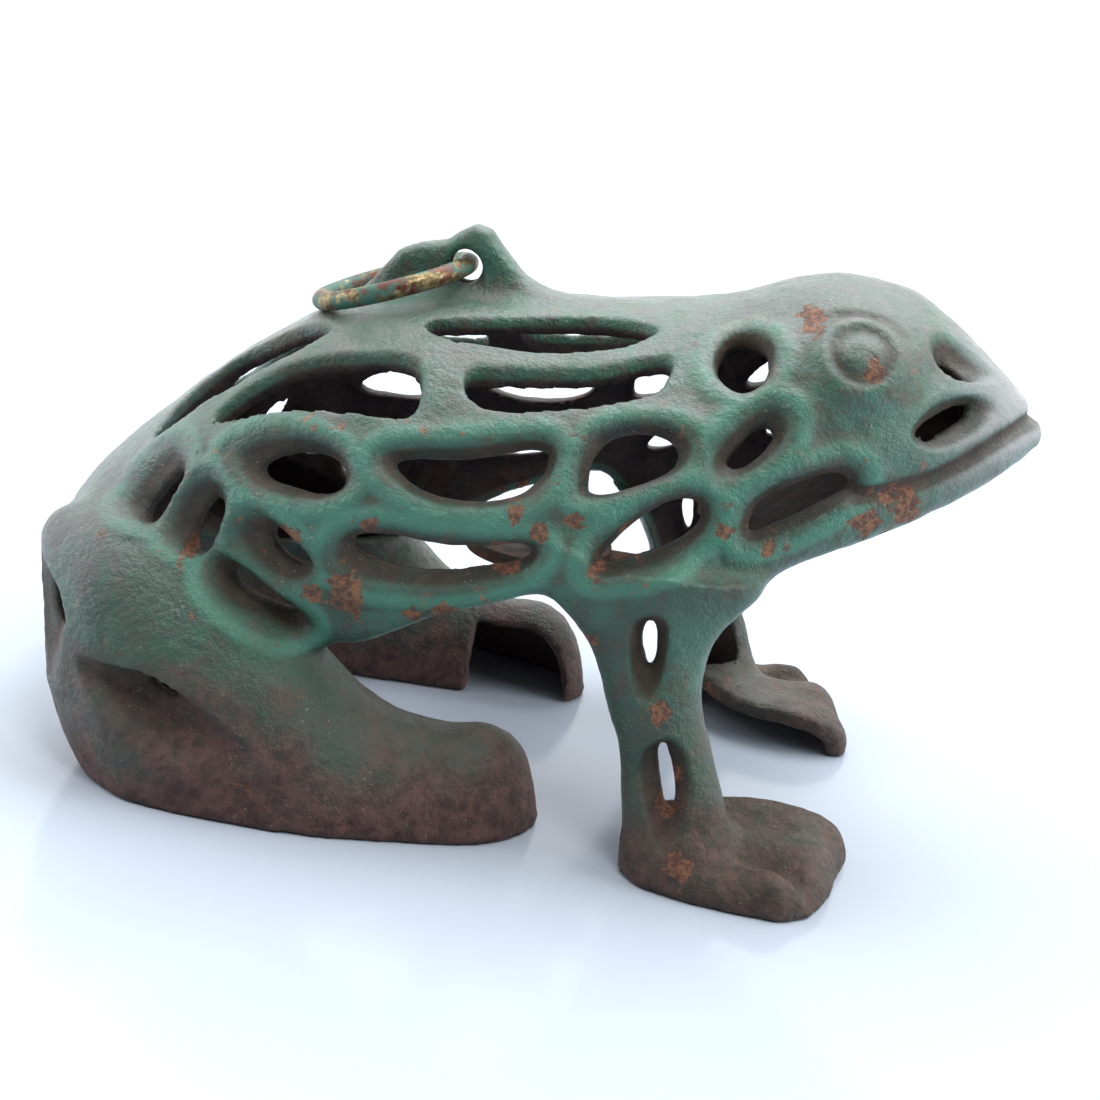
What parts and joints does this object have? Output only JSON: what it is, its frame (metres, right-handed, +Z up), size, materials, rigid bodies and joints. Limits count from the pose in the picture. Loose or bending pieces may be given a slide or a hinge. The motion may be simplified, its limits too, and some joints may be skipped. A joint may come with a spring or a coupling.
{
  "type": "frog lantern",
  "caption": "Openwork cast-iron frog candle lantern, hollow and open underneath, with a wire hanging ring on its back and a swivelling candle tray inside.",
  "frame": {"origin": "on the floor, under the middle of the frog's bounding box", "axes": "+X the way the frog faces, +Y its left side, +Z up"},
  "size_m": [0.176, 0.113, 0.1015],
  "materials": {
    "painted_iron": "worn satin green paint over rusty cast iron",
    "ring_wire": "tarnished and painted wire",
    "rusty_steel": "dark rusty steel"
  },
  "bodies": {
    "casting": {"body_front_left": "painted_iron", "body_front_right": "painted_iron", "body_rear_left": "painted_iron", "body_rear_right": "painted_iron", "head_shell": "painted_iron", "ring_lug": "painted_iron", "tray_web": "painted_iron", "rear_leg_left": "painted_iron", "rear_leg_right": "painted_iron", "front_leg_left": "painted_iron", "front_leg_right": "painted_iron", "pivot_screw": "rusty_steel", "pivot_washer": "rusty_steel", "pivot_nut": "rusty_steel"},
    "ring": {"hanging_ring": "ring_wire"},
    "tray": {"candle_tray": "rusty_steel", "candle_spike": "rusty_steel"}
  },
  "joints": [
    {"name": "ring_swing", "type": "hinge", "parent": "casting", "child": "ring", "pos_m": [-0.02, 0, 0.0935], "axis": [0, 1, 0], "range_deg": [0, 198]},
    {"name": "tray_swivel", "type": "hinge", "parent": "casting", "child": "tray", "pos_m": [0.033, 0, 0.0414], "axis": [0, 0, 1], "range_deg": [-30, 30]}
  ]
}
